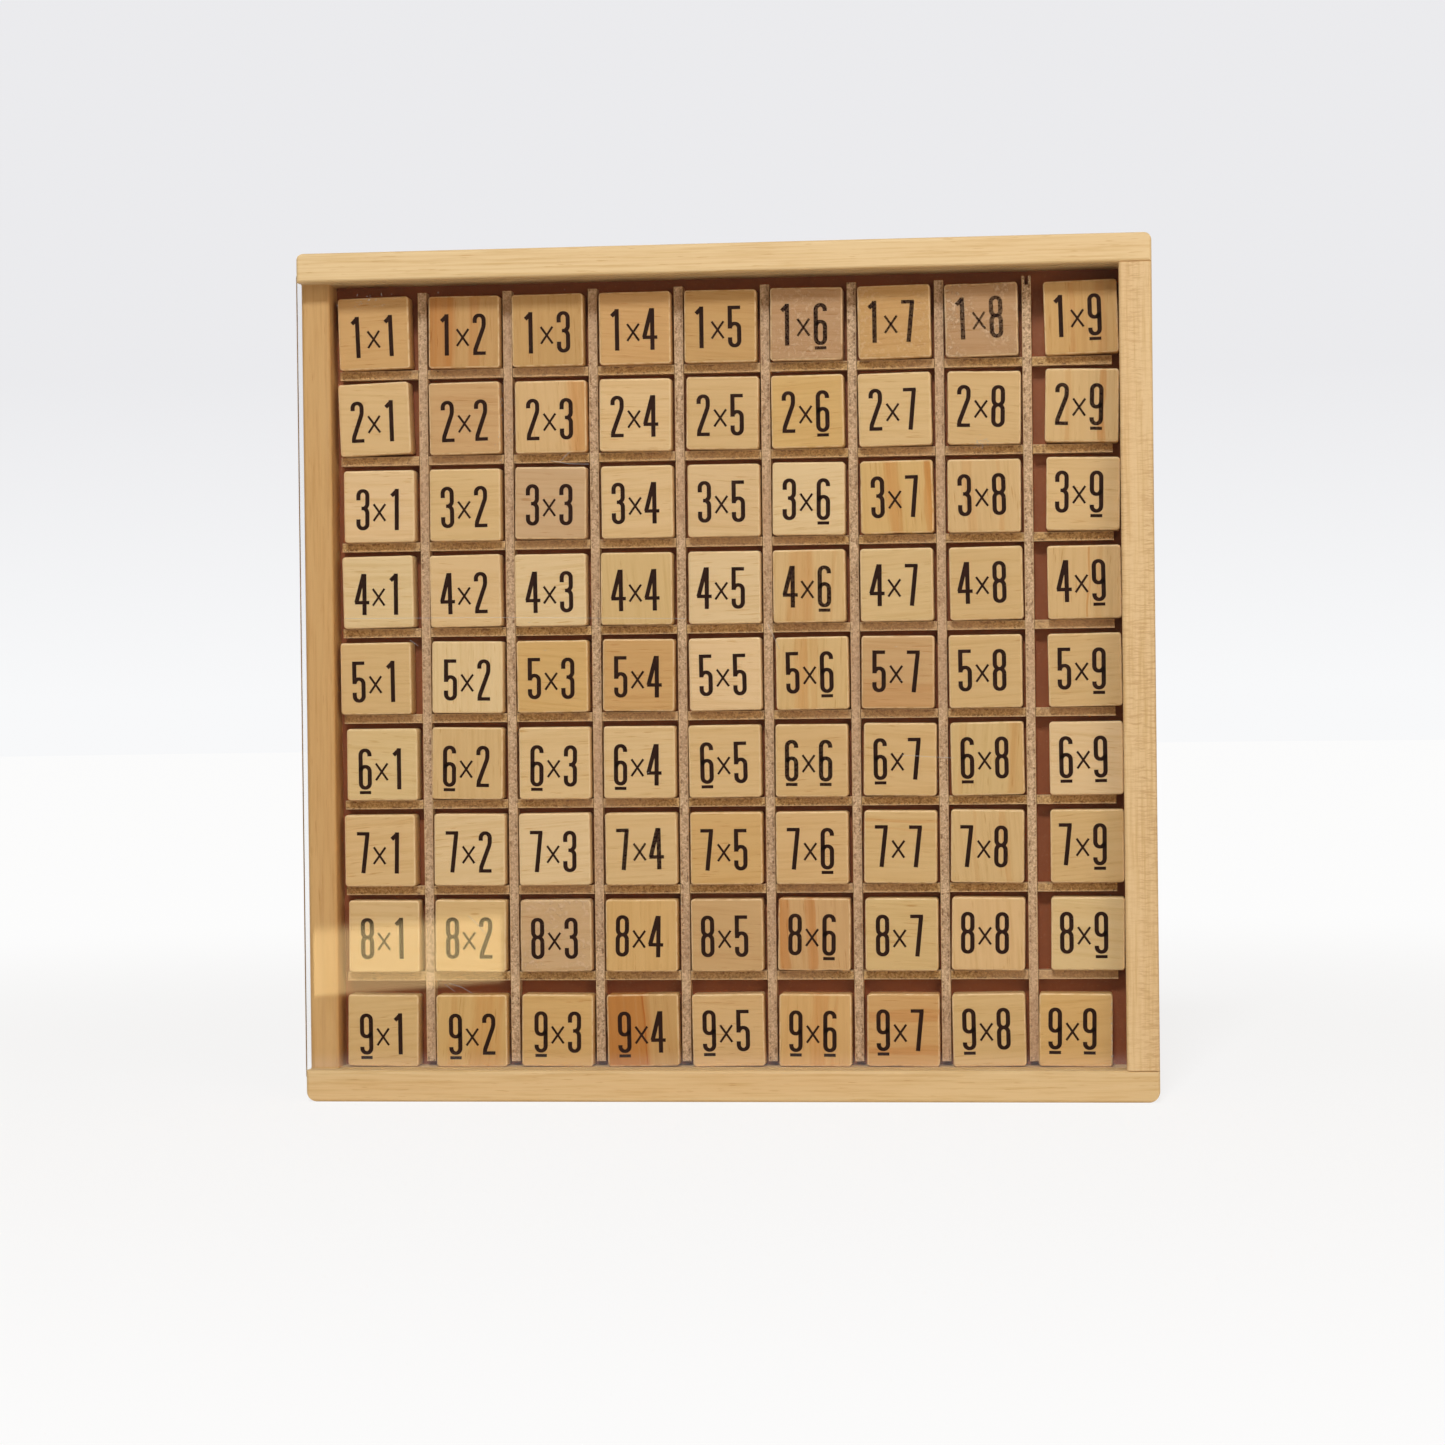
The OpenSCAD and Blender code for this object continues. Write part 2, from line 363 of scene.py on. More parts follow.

# Dividers: strips of raw fibreboard, half lapped into a grid of 81 cells. Their sawn edges are
# fibrous and pitted, with a paler line along each side: partly where the smooth faces of the board
# end, partly painted highlight where the edges catch the light.
tables = 9
strip_names = {"x": "upright_strip_", "z": "cross_strip_"}
# The same board in two paints: the cross strips' darker, browner one is painted shade, for the
# shade the tiles above cast on their sawn edges.
strip_lit_and_shaded_browns = {"x": ((188, 154, 118), (235, 204, 166)), "z": ((170, 129, 80), (218, 179, 120))}
strip_relief = 0.00015


def fibreboard(name, across, dark, light):
    """Fibreboard whose sawn edge faces the front; across is the strip's thin direction.

    The distance from the nearest strip's middle line makes the pale lines at the sides, skin and
    painted highlight in one, and the edges of the cut, where the pits are most.
    """
    material, tree, coat = finish(name, 0.8, 0.2)
    place = shader(tree, "TexCoord").outputs["Object"]
    axis = "xyz".index(across)
    low, high = (corner[axis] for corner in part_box(strip_names[across] + "1"))
    next_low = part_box(strip_names[across] + "2")[0][axis]
    middle, half, pitch = (low + high) / 2, (high - low) / 2, abs(next_low - low)
    across_board = shader(tree, "SeparateXYZ", {0: place}).outputs[axis]
    away = sum_up(tree, "SUBTRACT", across_board, middle - pitch / 2)
    in_pitch = sum_up(tree, "FLOORED_MODULO", away, pitch)
    off_middle = sum_up(tree, "ABSOLUTE", sum_up(tree, "SUBTRACT", in_pitch, pitch / 2))
    skin_and_edge_highlight = rise(tree, off_middle, half * 0.62, half * 0.9)
    felt = cloud(tree, place, 1900, 3.0, 0.6)
    tufts = cloud(tree, stretch(tree, place, 1, 1, 0.4), 620, 3.0, 0.6)
    colour = tint(tree, rise(tree, felt, 0.34, 0.68), paint(*dark), paint(*light))
    colour = tint(tree, rise(tree, tufts, 0.55, 0.85), colour, paint(158, 118, 82))
    pits = rise(tree, cloud(tree, place, 850, 2.0, 0.7), 0.52, 0.62)
    at_edge = rise(tree, off_middle, half * 0.2, half * 0.8)
    pits = sum_up(tree, "MULTIPLY", pits, sum_up(tree, "MULTIPLY_ADD", at_edge, 0.7, 0.2))
    colour = tint(tree, pits, colour, paint(116, 78, 50))
    faded = rise(tree, cloud(tree, place, 22, 1.0), 0.4, 0.65)
    colour = tint(tree, sum_up(tree, "MULTIPLY", faded, 0.5), colour, paint(204, 166, 130))
    # The pale line along each side: partly the board's smooth skin, partly painted highlight where
    # the edges catch the light.
    colour = tint(tree, sum_up(tree, "MULTIPLY", skin_and_edge_highlight, 0.6), colour, paint(222, 186, 140))
    tree.links.new(colour, coat.inputs["Base Color"])
    roughen(tree, coat, sum_up(tree, "MULTIPLY_ADD", pits, -1.0, felt), strip_relief)
    return material


for across, name in strip_names.items():
    strip_finish = fibreboard(name + "board", across, *strip_lit_and_shaded_browns[across])
    for number in range(1, tables):
        dress(name + str(number), strip_finish)

# Back panel: hardboard glued into the rebates, smooth, dark and slightly shiny on the side
# that shows between the tiles, and with the mesh pattern of the press on the back.
panel_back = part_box("back_panel")[1][1]
panel_sheen = (1.0, 0.82, 0.55, 1)
panel_skin = 0.0002
press_pitch = 0.0013
panel_relief = 0.00012
material, tree, coat = finish("hardboard", 0.45, 0.7)
coat.inputs["Specular Tint"].default_value = panel_sheen
place = shader(tree, "TexCoord").outputs["Object"]
depth = shader(tree, "SeparateXYZ", {0: place}).outputs[1]
behind = rise(tree, depth, panel_back - 2 * panel_skin, panel_back - panel_skin)
clouds = cloud(tree, place, 70, 4.0, 0.6)
specks = rise(tree, cloud(tree, place, 1900, 2.0, 0.6), 0.6, 0.72)
front_brown = tint(tree, clouds, paint(128, 57, 30), paint(160, 88, 50))
front_brown = tint(tree, sum_up(tree, "MULTIPLY", specks, 0.35), front_brown, paint(176, 120, 84))
press = stretch(tree, place, *(2 * np.pi / press_pitch,) * 3)
waves = shader(tree, "VectorMath", {0: press}, operation="SINE").outputs[0]
wave_parts = shader(tree, "SeparateXYZ", {0: waves}).outputs
mesh_print = sum_up(tree, "MULTIPLY", wave_parts[0], wave_parts[2])
mesh_print = sum_up(tree, "MULTIPLY", sum_up(tree, "MULTIPLY_ADD", mesh_print, 0.5, 0.5), behind)
back_brown = tint(tree, mesh_print, paint(118, 80, 52), paint(176, 130, 90))
back_brown = tint(tree, sum_up(tree, "MULTIPLY", clouds, 0.5), back_brown, paint(158, 112, 76))
colour = tint(tree, behind, front_brown, back_brown)
tree.links.new(colour, coat.inputs["Base Color"])
dull = sum_up(tree, "MULTIPLY_ADD", behind, 0.25, 0.45)
tree.links.new(dull, coat.inputs["Roughness"])
roughen(tree, coat, sum_up(tree, "MULTIPLY_ADD", specks, 0.15, mesh_print), panel_relief)
dress("back_panel", material)

# Tiles: 81 loose squares of solid wood, sanded round the edges. Each is cut from another board,
# so some are pale, some honey, orange or pink, and the grain of a few runs sideways.
tile_side = 0.0196
tile_thick = 0.007
tile_corner = 0.0009
tile_edge = 0.0005
tile_insets = (0.0062, 0.0036, 0.0019, 0.001)
tile_bite = 0.00003
outline_steps = 7
edge_steps = 4
# The rings of points that go round the front edge, which is painted pale: partly rubbed wear,
# partly painted highlight
rubbed_and_highlight_rings = slice(len(tile_insets) + 1, len(tile_insets) + edge_steps)
dent_beats = (3, 7, 11, 17)
lean_most = 0.1
plank_reach = (0.2, 0.2, 0.5)
tone_spread = 0.012
tile_pith = (0.05, 0.03)
tile_rings = 0.0031
tile_wander = 0.006
band_wobble = 0.0035
tile_relief = 0.00005
turn_most = 4
mm = 0.001
chance = np.random.default_rng(7)


def slab_outline(width, height, corner):
    """Once round a rectangle with round corners: (points, outward directions), in x and z.

    Four quarter circles about the corners' middles, and even steps along the sides between.
    """
    signs = np.array([(1, 1), (-1, 1), (-1, -1), (1, -1)])
    middles = signs * (width / 2 - corner, height / 2 - corner)
    share = np.linspace(0, 1, outline_steps + 2)[1:-1, None]
    points, outward = [], []
    for quarter, middle in enumerate(middles):
        angle = np.radians(90 * quarter + np.linspace(0, 90, outline_steps))
        ray = np.stack([np.cos(angle), np.sin(angle)], 1)
        start, end = (around + corner * ray[-1] for around in (middle, middles[(quarter + 1) % 4]))
        points += [middle + corner * ray, start + share * (end - start)]
        outward += [ray, np.repeat(ray[-1:], outline_steps, 0)]
    return np.vstack(points), np.vstack(outward)


def slab_rings(thick, edge, insets):
    """The section from the middle of the front to the middle of the back.

    Rows of (inset, depth): flat rings, a quarter circle over the front edge, the side, and the
    same over the back edge.
    """
    angle = np.radians(np.linspace(0, 90, edge_steps + 1))
    front = np.stack([edge * (1 - np.sin(angle)), edge * (1 - np.cos(angle))], 1)
    flat = np.stack([insets, 0 * np.asarray(insets)], 1)
    half = np.vstack([flat, front])
    back = half[::-1] * (1, -1) + (0, thick)
    return np.vstack([half, back])


def slab(width, height, thick, corner, edge, insets, bite=0.0):
    """A slab's points, as rings by steps by (x, y, z), and its faces, closed at both middles.

    Each ring is the outline moved inwards by its inset, as far as the corner allows, and drawn
    to the middle from there on. bite is a row of dents along the outline, in metres.
    """
    outline, outward = slab_outline(width, height, corner)
    rings = slab_rings(thick, edge, insets)
    furthest = corner * 0.6
    moved = np.minimum(rings[:, 0], furthest)[:, None, None]
    drawn = 1 - np.maximum(rings[:, 0] - furthest, 0)[:, None, None] / (min(width, height) / 2)
    rim = (outline - outward * (moved + np.reshape(bite, (1, -1, 1)))) * drawn
    depth = np.broadcast_to(rings[:, 1][:, None], rim.shape[:2])
    points = np.stack([rim[..., 0], depth, rim[..., 1]], 2)
    count, steps = points.shape[:2]
    middles = [[0, 0, 0], [0, thick, 0]]
    points = np.vstack([points.reshape(-1, 3), middles])
    ring, step = np.meshgrid(np.arange(count - 1), np.arange(steps), indexing="ij")
    after = (step + 1) % steps
    inner, outer = ring * steps, (ring + 1) * steps
    quads = np.stack([outer + step, outer + after, inner + after, inner + step], -1).reshape(-1, 4)
    step = np.arange(steps)
    after = (step + 1) % steps
    front = np.stack([np.full(steps, count * steps), step, after], 1)
    last = (count - 1) * steps
    back = np.stack([np.full(steps, count * steps + 1), last + after, last + step], 1)
    return points, quads.tolist() + front.tolist() + back.tolist()


def tile_places(row):
    """Where the nine tiles of a CAD row lie: (middle x, front y, middle z, turn) of each.

    A tile's turn is the one at which its outline is narrowest.
    """
    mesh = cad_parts["tiles_row_" + str(row)].data
    points = np.empty(len(mesh.vertices) * 3)
    mesh.vertices.foreach_get("co", points)
    points = points.reshape(-1, 3)
    boxes = [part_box("upright_strip_" + str(i)) for i in range(1, tables)]
    column = np.searchsorted([(low[0] + high[0]) / 2 for low, high in boxes], points[:, 0])
    angles = np.radians(np.linspace(-turn_most, turn_most, 100 * turn_most + 1))
    places = []
    for tile in range(tables):
        x, y, z = points[column == tile].T
        turned = np.outer(x, np.cos(angles)) + np.outer(z, np.sin(angles))
        turn = angles[np.argmin(turned.max(0) - turned.min(0))]
        places.append(((x.min() + x.max()) / 2, y.min(), (z.min() + z.max()) / 2, turn))
    return places


def put(points, place):
    """Turns points about the y axis and moves them to the place."""
    x, y, z, turn = place
    across, up = points[:, 0], points[:, 2]
    return np.stack(
        [
            x + across * np.cos(turn) - up * np.sin(turn),
            y + points[:, 1],
            z + across * np.sin(turn) + up * np.cos(turn),
        ],
        1,
    )


def gather(points, faces, shape, shape_faces):
    """Adds a closed shape to the points and faces of a mesh in the making."""
    start = sum(len(part) for part in points)
    points.append(shape)
    faces.extend(tuple(start + i for i in face) for face in shape_faces)


def add_layer(mesh, name, kind, values):
    """A layer of numbers on a mesh's points, which its finish reads by name."""
    key = {"FLOAT_VECTOR": "vector", "FLOAT_COLOR": "color", "FLOAT": "value"}[kind]
    layer = mesh.attributes.new(name, kind, "POINT")
    layer.data.foreach_set(key, np.asarray(values, np.float32).ravel())


woods = {
    "pale": paint(235, 202, 151),
    "straw": paint(231, 196, 141),
    "honey": paint(227, 190, 134),
    "tan": paint(223, 185, 128),
    "orange": paint(222, 178, 114),
    "rose": paint(212, 174, 129),
    "brown": paint(212, 169, 116),
    "amber": paint(215, 169, 108),
    "dark amber": paint(206, 161, 101),
    "grey": paint(194, 151, 107),
}
# Every tile of the top row gets one of the darker woods, amber, dark amber and grey: partly their
# own tone, partly painted shade for the top rail's shadow over that row.
named_woods = {
    "pale": "3x1 3x6 4x1 4x3 4x5 5x2 5x5 6x9 7x2 7x3",
    "straw": "2x4 3x4 3x5 4x2 6x1 6x3 6x4 8x9",
    "tan": "2x3 2x5 2x8 2x9 3x8 4x4 4x6 4x8 4x9 5x1 5x6 5x8 5x9 6x2 6x6 6x7 6x8 "
           "7x6 7x7 7x8 7x9 8x2 8x7 9x1 9x5 9x8",
    "orange": "2x6 3x7 5x3 7x5 8x4 9x2 9x3 9x6 9x9",
    "rose": "3x3 8x3",
    "brown": "2x2 5x7 8x5 8x6",
    "amber": "1x1 1x4 1x9 5x4 9x7",
    "dark amber": "1x2 1x3 1x5 1x7 9x4",
    "grey": "1x6 1x8",
}
wood_of = {name: wood for wood, names in named_woods.items() for name in names.split()}
upright_grain = (
    "1x2 1x3 2x3 3x7 3x8 4x4 4x6 4x9 5x6 6x8 8x4 8x6 9x2 9x4 9x6 2x9 1x9 7x8 6x2 8x8 5x2".split()
)
# Orange heartwood bands: middle and half width in millimetres across the grain, and strength
heart_bands = {
    "9x4": ((-5.5, 7.5, 1.4), (0.4, 0.25, 1.6)), "1x2": ((-6.5, 4.2, 0.9), (3.0, 1.6, 0.5)),
    "2x3": ((8.2, 4.0, 0.7), (0, 0.1, 0)), "3x7": ((-0.6, 2.0, 0.7), (8.4, 1.0, 0.9)),
    "8x6": ((-8.5, 1.6, 0.9), (-0.8, 1.3, 0.8)), "2x9": ((5.2, 0.9, 0.8), (-4.0, 0.7, 0.4)),
    "9x6": ((1.0, 2.2, 0.5), (5.0, 0.4, 0.4)), "9x7": ((5.4, 1.0, 0.5), (-4.0, 1.6, 0.6)),
    "4x6": ((-2.0, 3.8, 0.55), (6.0, 0.3, 0.3)), "5x6": ((-3.0, 1.8, 0.6), (0.5, 1.0, 0.4)),
    "6x8": ((9.0, 3.6, 0.6), (-7.0, 0.7, 0.3)), "9x2": ((4.0, 4.5, 0.5), (-5.0, 1.0, 0.3)),
    "4x9": ((1.2, 0.3, 0.8), (4.0, 0.8, 0.3)), "5x7": ((6.0, 4.0, 0.4), (0, 0.1, 0)),
    "7x8": ((5.0, 0.9, 0.5), (-3.0, 0.5, 0.3)), "1x9": ((-2.5, 0.6, 0.5), (5.5, 1.2, 0.4)),
    "3x8": ((-3.5, 1.5, 0.35), (4.2, 0.6, 0.5)), "7x7": ((-7.0, 0.5, 0.6), (-4.6, 0.3, 0.4)),
}
# Tiles with deeper dents along their edges
ragged = {"8x6": 1.0, "3x7": 0.8, "8x3": 0.8, "2x8": 0.6, "1x8": 0.7, "5x3": 0.5, "9x7": 0.6}
# Tiles whose face has been wet and has dried rough, in pale flakes
flaked = {"1x8": 1.0, "8x3": 0.7, "1x6": 0.5, "1x7": 0.4}

band_layers = ("first band", "second band")
wood_finish, tree, coat = finish("tile wood", 0.5)
grain = shader(tree, "Attribute", attribute_name="grain").outputs["Vector"]
tone = shader(tree, "Attribute", attribute_name="tone").outputs["Color"]
across = shader(tree, "Attribute", attribute_name="across").outputs["Fac"]
late, fibres, flecks = pine_figure(tree, grain, tile_rings, tile_pith, tile_wander)
colour = tint(tree, sum_up(tree, "MULTIPLY", late, 0.24), tone, paint(238, 222, 196), "MULTIPLY")
drift = cloud(tree, stretch(tree, grain, 200, 200, 55), 1.0, 2.0)
wobbled = sum_up(tree, "MULTIPLY_ADD", sum_up(tree, "SUBTRACT", drift, 0.5), band_wobble, across)
for band in band_layers:
    middle, half, strength = shader(
        tree, "SeparateXYZ", {0: shader(tree, "Attribute", attribute_name=band).outputs["Vector"]}
    ).outputs
    off = sum_up(tree, "ABSOLUTE", sum_up(tree, "SUBTRACT", wobbled, middle))
    inside = rise(tree, sum_up(tree, "DIVIDE", off, half), 1.15, 0.75)
    streaks = rise(tree, cloud(tree, stretch(tree, grain, 750, 400, 16), 1.0, 2.0), 0.25, 0.7)
    share = sum_up(tree, "MULTIPLY", inside, strength)
    share = sum_up(tree, "MULTIPLY", share, sum_up(tree, "MULTIPLY_ADD", streaks, 0.5, 0.5))
    colour = tint(tree, share, colour, paint(240, 204, 158), "MULTIPLY")
colour = tint(tree, rise(tree, fibres, 0.4, 0.8), colour, paint(243, 236, 222), "MULTIPLY")
colour = tint(tree, flecks, colour, paint(236, 220, 196), "MULTIPLY")
# The pale front edge: partly rubbed wear, partly painted highlight of the edge catching the light.
rubbed_and_highlight = shader(tree, "Attribute", attribute_name="rubbed_and_highlight").outputs["Fac"]
patchy = rise(tree, cloud(tree, grain, 420, 2.0), 0.35, 0.55)
rubbed_and_highlight = sum_up(tree, "MULTIPLY", rubbed_and_highlight, sum_up(tree, "MULTIPLY_ADD", patchy, 0.45, 0.2))
colour = tint(tree, rubbed_and_highlight, colour, paint(250, 218, 168))
flaking = shader(tree, "Attribute", attribute_name="flaked").outputs["Fac"]
flakes = rise(tree, cloud(tree, grain, 850, 4.0, 0.65), 0.5, 0.62)
flakes = sum_up(tree, "MULTIPLY", flakes, rise(tree, cloud(tree, grain, 110, 1.0), 0.35, 0.6))
flakes = sum_up(tree, "MULTIPLY", flakes, flaking)
colour = tint(tree, sum_up(tree, "MULTIPLY", flakes, 0.55), colour, paint(240, 208, 172))
tree.links.new(colour, coat.inputs["Base Color"])
height = sum_up(tree, "MULTIPLY_ADD", flecks, -0.5, fibres)
roughen(tree, coat, sum_up(tree, "MULTIPLY_ADD", flakes, 3.0, height), tile_relief)

no_bands = ((0, 0.1, 0), (0, 0.1, 0))
layer_kinds = {
    "grain": "FLOAT_VECTOR", "tone": "FLOAT_COLOR", "across": "FLOAT", "rubbed_and_highlight": "FLOAT",
    "flaked": "FLOAT", "first band": "FLOAT_VECTOR", "second band": "FLOAT_VECTOR",
}
for row in range(1, tables + 1):
    points, faces = [], []
    layers = {layer: [] for layer in layer_kinds}
    for column, place in enumerate(tile_places(row), 1):
        name = "%dx%d" % (row, column)
        around = np.linspace(0, 2 * np.pi, 8 * outline_steps, endpoint=False)
        waves = sum(
            np.sin(around * beat + chance.uniform(0, 7)) / beat ** 0.5 for beat in dent_beats
        )
        bite = np.maximum(waves, 0) * tile_bite * (1 + 5 * ragged.get(name, 0))
        shape, shape_faces = slab(
            tile_side, tile_side, tile_thick, tile_corner, tile_edge, tile_insets, bite
        )
        gather(points, faces, put(shape, place), shape_faces)
        lean = chance.uniform(-lean_most, lean_most) + (0 if name in upright_grain else np.pi / 2)
        offset = chance.uniform(-1, 1, 3) * plank_reach
        turned = put(shape, (0, 0, 0, lean))
        wood = woods[wood_of.get(name, "honey")]
        shade = np.array(wood) * (*chance.normal(1, tone_spread, 3), 1)
        edge = np.zeros((len(shape) // len(bite), len(bite)))
        edge[rubbed_and_highlight_rings] = 1
        layers["grain"].append(turned + offset)
        layers["tone"].append(np.repeat([shade], len(shape), 0))
        layers["across"].append(turned[:, 0])
        layers["rubbed_and_highlight"].append(np.concatenate([edge.ravel(), [0, 0]]))
        layers["flaked"].append(np.full(len(shape), flaked.get(name, 0.0)))
        for band, (middle, half, strength) in zip(band_layers, heart_bands.get(name, no_bands)):
            layers[band].append(np.repeat([(middle * mm, half * mm, strength)], len(shape), 0))
    tiles = solid("row_%d_tiles" % row, np.vstack(points), faces)
    for layer, kind in layer_kinds.items():
        add_layer(tiles.data, layer, kind, np.concatenate(layers[layer]))
    tiles.data.materials.append(wood_finish)
    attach(tiles, "tray")
    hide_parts("tiles_row_" + str(row))

# Print: each tile carries its sum in tall, narrow, near-black figures, stamped on the bare
# wood, with a bar under every 6 and 9. The ink is thin, and is worn off in places.
figure_high = 11.25
figure_half = 1.24
dome = 1.3
upright_stroke = 1.16
level_stroke = 0.95
top_line = figure_high - level_stroke / 2
waist_line = 5.96
foot_line = level_stroke / 2
bar_stroke = 0.85
times_stroke = 0.6
times_apart = 4.6
times_drop = -0.07 * figure_high
ink_thick = 0.02
ink_step = 0.001
ink_sunk = 0.03
# Where the stamp lies on the tiles of the first column, and how it shifts with each column
drift_first = np.array((-0.1, -0.85))
drift_step = np.array((-0.1, 0.15))
drift_spread = 0.15
turn_spread = 0.5


def bend_round(height, start, end, steps=15):
    """Part of a figure's dome or bowl: an ellipse's arc, from start to end in degrees."""
    angle = np.radians(np.linspace(start, end, steps))
    return np.stack([figure_half * np.cos(angle), height + dome * np.sin(angle)], 1)


def run(*parts):
    """One pen stroke, of arcs and single points in turn."""
    return np.vstack([np.atleast_2d(part) for part in parts])


def ring_of(low, high):
    """A closed bowl between two lines: half an ellipse at each end, and straight sides."""
    bowl = run(bend_round(high - dome, 0, 180), bend_round(low + dome, 180, 360))
    return run(bowl, bowl[0])


six = [
    run(
        (figure_half, 9.1), bend_round(top_line - dome, 0, 180),
        bend_round(foot_line + dome, 180, 360), bend_round(6.3 - dome, 0, 172),
    )
]
figures = {
    1: [
        run((0.2, 0), (0.2, figure_high)),
        run((-1.25, figure_high - 1.9), (0.2, figure_high - 0.5)),
    ],
    2: [
        run(
            (-figure_half, 8.7), bend_round(top_line - dome, 180, 0), (figure_half, 8.2),
            (figure_half - 0.12, 7.5), (-figure_half + 0.15, 1.5), (-figure_half + 0.05, 0.3),
        ),
        run((-figure_half - 0.5, foot_line), (figure_half + 0.5, foot_line)),
    ],
    3: [
        run(
            (-figure_half, 8.2), bend_round(top_line - dome, 180, 0),
            bend_round(waist_line + dome, 0, -90), (-0.4, waist_line),
        ),
        run(
            (-0.4, waist_line), bend_round(waist_line - dome, 90, 0),
            bend_round(foot_line + dome, 0, -180), (-figure_half, 3.0),
        ),
    ],
    4: [
        run((0.65, 0), (0.65, figure_high)),
        run((0.45, figure_high - 0.1), (-1.6, 3.4)),
        run((-2.0, 3.4), (2.0, 3.4)),
    ],
    5: [
        run((1.6, top_line), (-1.7, top_line)),
        run((-figure_half, figure_high), (-figure_half, 5.2)),
        run(
            (-figure_half, 5.1), bend_round(6.45 - dome, 180, 0),
            bend_round(foot_line + dome, 0, -180), (-figure_half, 2.75),
        ),
    ],
    6: six,
    7: [
        run((-1.75, top_line), (1.72, top_line)),
        run((1.2, figure_high - 0.4), (0.1, 0)),
    ],
    8: [ring_of(waist_line, top_line), ring_of(foot_line, waist_line)],
    9: [(0, figure_high) - stroke for stroke in six],
}
under_bar = run((-1.58, -0.78), (1.58, -0.78))
times_sign = [run((-1.62, -2.3), (1.62, 2.3)), run((-1.62, 2.3), (1.62, -2.3))]


def ribbon(path, stroke, lift):
    """A flat stroke of ink along a path: (points, faces) of a closed band, in millimetres.

    Each of the path's points gives a left and a right one, half a stroke away from it across
    the path's own direction, in front of the wood and again just inside it. stroke is the width
    of a level and of an upright line.
    """
    ahead = np.gradient(path, axis=0)
    ahead /= np.linalg.norm(ahead, axis=1)[:, None]
    half = (stroke[0] + (stroke[1] - stroke[0]) * np.abs(ahead[:, 1]))[:, None] / 2
    side = np.stack([-ahead[:, 1], ahead[:, 0]], 1) * half
    left, right = path + side, path - side
    rows = [(left, -lift), (right, -lift), (right, ink_sunk), (left, ink_sunk)]
    rows = [np.stack([row[:, 0], np.full(len(row), y), row[:, 1]], 1) for row, y in rows]
    end = 4 * (len(path) - 1)
    faces = [
        (i + (k + 1) % 4, i + 4 + (k + 1) % 4, i + 4 + k, i + k)
        for i in range(0, end, 4) for k in range(4)
    ]
    faces += [(3, 2, 1, 0), (end, end + 1, end + 2, end + 3)]
    return np.stack(rows, 1).reshape(-1, 3), faces


# Tiles whose print is partly worn off
worn = {"1x8": 0.5, "1x6": 0.3, "1x7": 0.3, "4x6": 0.2, "7x4": 0.2, "6x6": 0.15, "2x9": 0.15}
ink, tree, coat = finish("stamping ink", 0.6, 0.1)
place = shader(tree, "TexCoord").outputs["Object"]
wear = shader(tree, "Attribute", attribute_name="wear").outputs["Fac"]
patches = cloud(tree, place, 1700, 3.0, 0.7)
thin = cloud(tree, place, 240, 2.0)
tree.links.new(tint(tree, thin, paint(30, 10, 4), paint(50, 24, 13)), coat.inputs["Base Color"])
gone = sum_up(tree, "MULTIPLY", rise(tree, patches, 0.3, 0.62), wear)
tree.links.new(sum_up(tree, "SUBTRACT", 1.0, gone), coat.inputs["Alpha"])

for row in range(1, tables + 1):
    points, faces, wears = [], [], []
    for column, place in enumerate(tile_places(row), 1):
        name = "%dx%d" % (row, column)
        drift = chance.normal(drift_first + drift_step * (column - 1), drift_spread)
        strokes = []
        for figure, x in ((row, -times_apart), (column, times_apart)):
            shift = (x, -figure_high / 2)
            for stroke in figures[figure]:
                strokes.append((stroke + shift, (level_stroke, upright_stroke)))
            if figure in (6, 9):
                strokes.append((under_bar + shift, (bar_stroke, bar_stroke)))
        for stroke in times_sign:
            strokes.append((stroke + (0, times_drop), (times_stroke, times_stroke)))
        turn = place[3] + np.radians(chance.normal(0, turn_spread))
        for number, (stroke, width) in enumerate(strokes):
            shape, shape_faces = ribbon(stroke + drift, width, ink_thick + ink_step * number)
            gather(points, faces, put(shape * mm, (*place[:3], turn)), shape_faces)
            wears.append(np.full(len(shape), worn.get(name, 0.0)))
    printed = solid("row_%d_print" % row, np.vstack(points), faces, smooth=False)
    add_layer(printed.data, "wear", "FLOAT", np.concatenate(wears))
    printed.data.materials.append(ink)
    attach(printed, "tray")

# Lid: one sheet of clear acrylic with polished edges, slid into the grooves from the left. It
# has picked up faint scratches and dust.
lid_corner = 0.001
lid_edge = 0.00015
lid_insets = (0.03, 0.003)
lid_clear = (0.998, 1.0, 0.998, 1)
lid_bend = 1.49
lid_lets_in = (0.95, 0.955, 0.95, 1)
lid_low, lid_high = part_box("clear_lid")
lid_size = np.subtract(lid_high, lid_low)
lid_middle = (np.add(lid_low, lid_high) / 2)[[0, 2]]
shape, faces = slab(lid_size[0], lid_size[2], lid_size[1], lid_corner, lid_edge, lid_insets)
lid = solid("lid_sheet", put(shape, (lid_middle[0], lid_low[1], lid_middle[1], 0)), faces)
acrylic, tree = blank("clear acrylic")
sheet = shader(
    tree, "BsdfPrincipled",
    {"Base Color": lid_clear, "Roughness": 0.0, "IOR": lid_bend, "Transmission Weight": 1.0},
)
lets_lamps_in = shader(tree, "BsdfTransparent", {"Color": lid_lets_in})
lid_path = shader(tree, "LightPath").outputs
lights = sum_up(tree, "MAXIMUM", lid_path["Is Shadow Ray"], lid_path["Is Diffuse Ray"])
lid_mix = shader(tree, "MixShader", {0: lights, 1: sheet.outputs[0], 2: lets_lamps_in.outputs[0]})
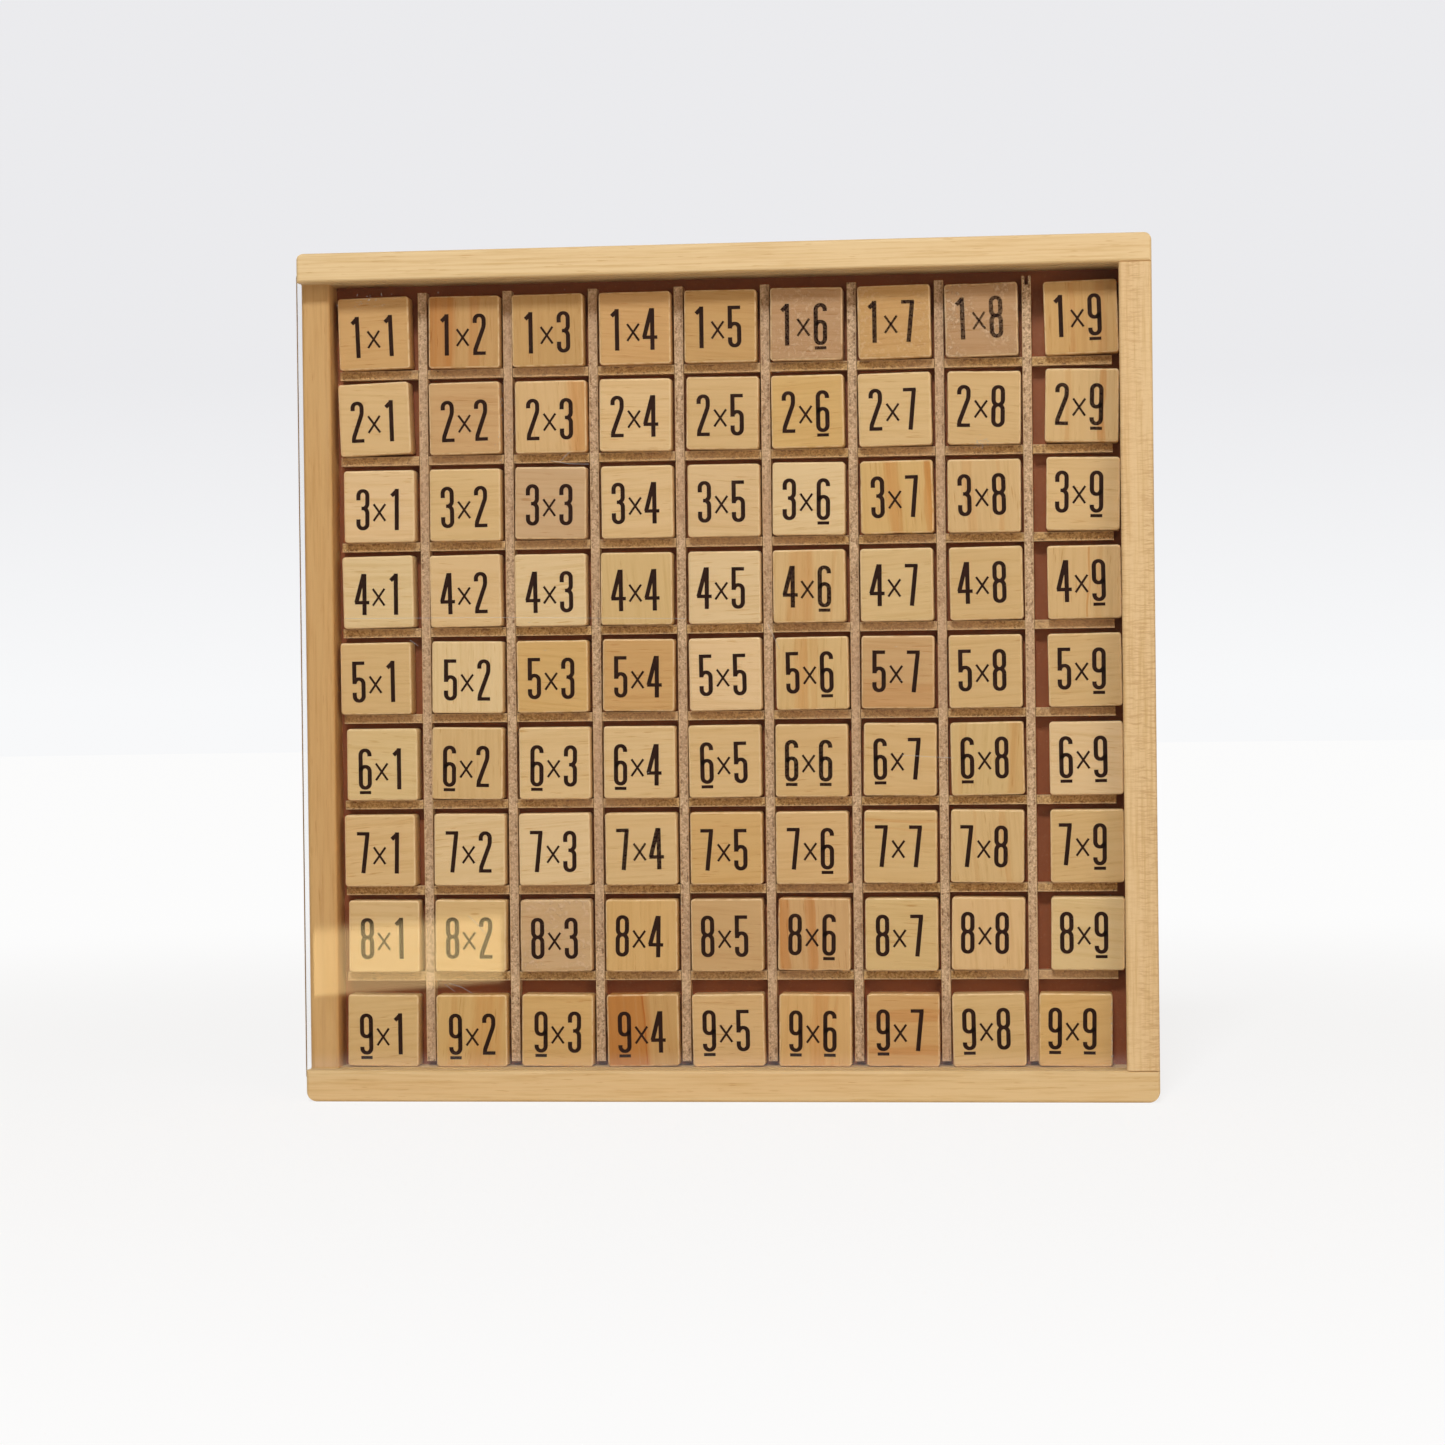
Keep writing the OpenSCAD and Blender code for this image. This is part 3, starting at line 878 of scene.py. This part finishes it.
shader(tree, "OutputMaterial", {0: lid_mix.outputs[0]})
lid.data.materials.append(acrylic)
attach(lid, "lid")
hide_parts("clear_lid")

# Marks on the lid: a few long faint scratches, one long pale level line, and fine dust that gathers
# near its edges.
# Lengths are millimetres, across and upwards from the middle of the board's foot.
scratches_and_pale_line = [
    run((-75.6, 31.8), (-72.0, 30.6), (-69.2, 29.0)), run((-76.8, 31.5), (-74.0, 29.5)),
    run((-70.1, 50.1), (-67.4, 47.6), (-65.1, 44.6)), run((-43.6, 172.5), (-40.7, 175.3)),
    run((-45.9, 172.9), (-41.0, 172.0), (-35.6, 171.8)), run((48.0, 92.5), (62.0, 91.6)),
    # The long level line, about 130 mm up across the left half, is a thin pale line drawn like the
    # scratches.
    run((12.4, 128.0), (15.5, 121.2)), run((-103.1, 131.1), (-60.4, 130.8), (-9.7, 129.8)),
    run((-85.2, 125.0), (-83.0, 123.4)),
]
scratch_and_line_width = 0.09
dust_width = 0.1
dust_reach = 0.12
dust_area = ((-105, 12), (103, 219))
mark_thick = 0.004
mark_stand_off = 0.000035
mark_grey = (0.9, 0.88, 0.85, 1)
mark_cover = 0.4
dust_count = 26
# Each patch of dust: the middle of it, and how wide and high it spreads
dust_spots = (
    (-95, 217.5, 5, 1.2), (70, 175.4, 1.5, 0.8), (-58.9, 186, 1, 5), (103.5, 17, 0.6, 5),
    (0, 120, 70, 70),
)
marks = [(path, scratch_and_line_width) for path in scratches_and_pale_line]
for x, z, wide, high in dust_spots:
    for _ in range(dust_count):
        middle = np.clip(chance.normal((x, z), (wide, high)), *dust_area)
        reach = chance.normal(0, dust_reach, 2)
        marks.append((run(middle - reach, middle + reach), dust_width))
points, faces = [], []
for path, width in marks:
    shape, shape_faces = ribbon(path, (width, width), mark_thick)
    gather(points, faces, put(shape * mm, (0, lid_low[1] - mark_stand_off, 0, 0)), shape_faces)
lid_marks = solid("lid_marks", np.vstack(points), faces)
mark_finish, tree, coat = finish("worn acrylic", 0.7)
coat.inputs["Base Color"].default_value = mark_grey
coat.inputs["Alpha"].default_value = mark_cover
lid_marks.data.materials.append(mark_finish)
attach(lid_marks, "lid")
